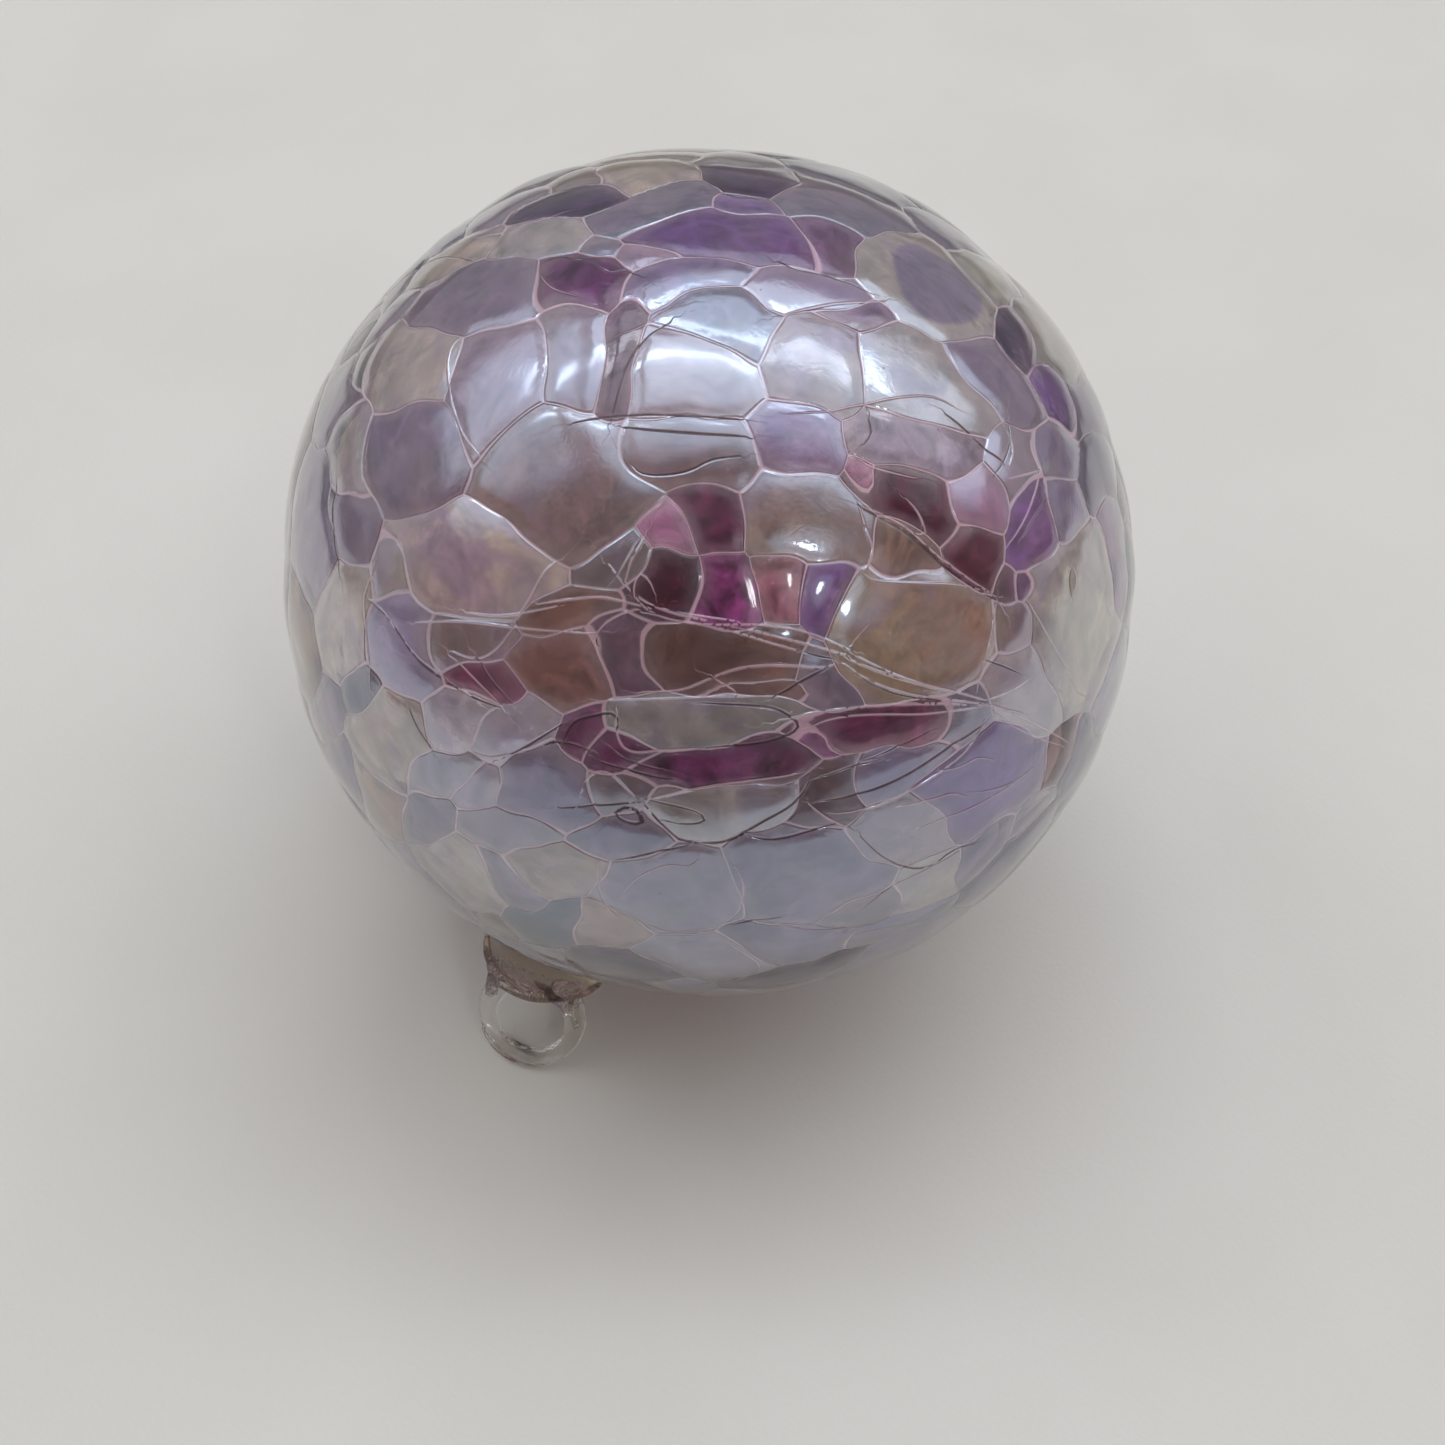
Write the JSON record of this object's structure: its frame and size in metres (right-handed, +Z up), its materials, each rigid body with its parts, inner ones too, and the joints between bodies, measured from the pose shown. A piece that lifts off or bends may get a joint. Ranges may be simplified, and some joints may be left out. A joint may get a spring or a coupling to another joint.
{
  "type": "blown glass ball ornament",
  "caption": "Hollow hand-blown ball of mottled lustre glass with a clear glass pad and hanging loop, lying on its side.",
  "frame": {"origin": "the spot on the surface that the ball rests on, right under the ball's centre", "axes": "+Z up from that surface, -Y towards the side that the loop points to, +X across the loop"},
  "size_m": [0.1, 0.0995, 0.0995],
  "materials": {
    "mottled_glass": "blown clear glass with fused violet, lavender, plum and straw chips under a pearly lustre",
    "clear_glass": "clear fire-polished glass"
  },
  "bodies": {
    "root": {"ball_shell": "mottled_glass", "hanger_pad": "clear_glass", "hanger_loop": "clear_glass", "trail_end": "clear_glass"}
  },
  "joints": []
}
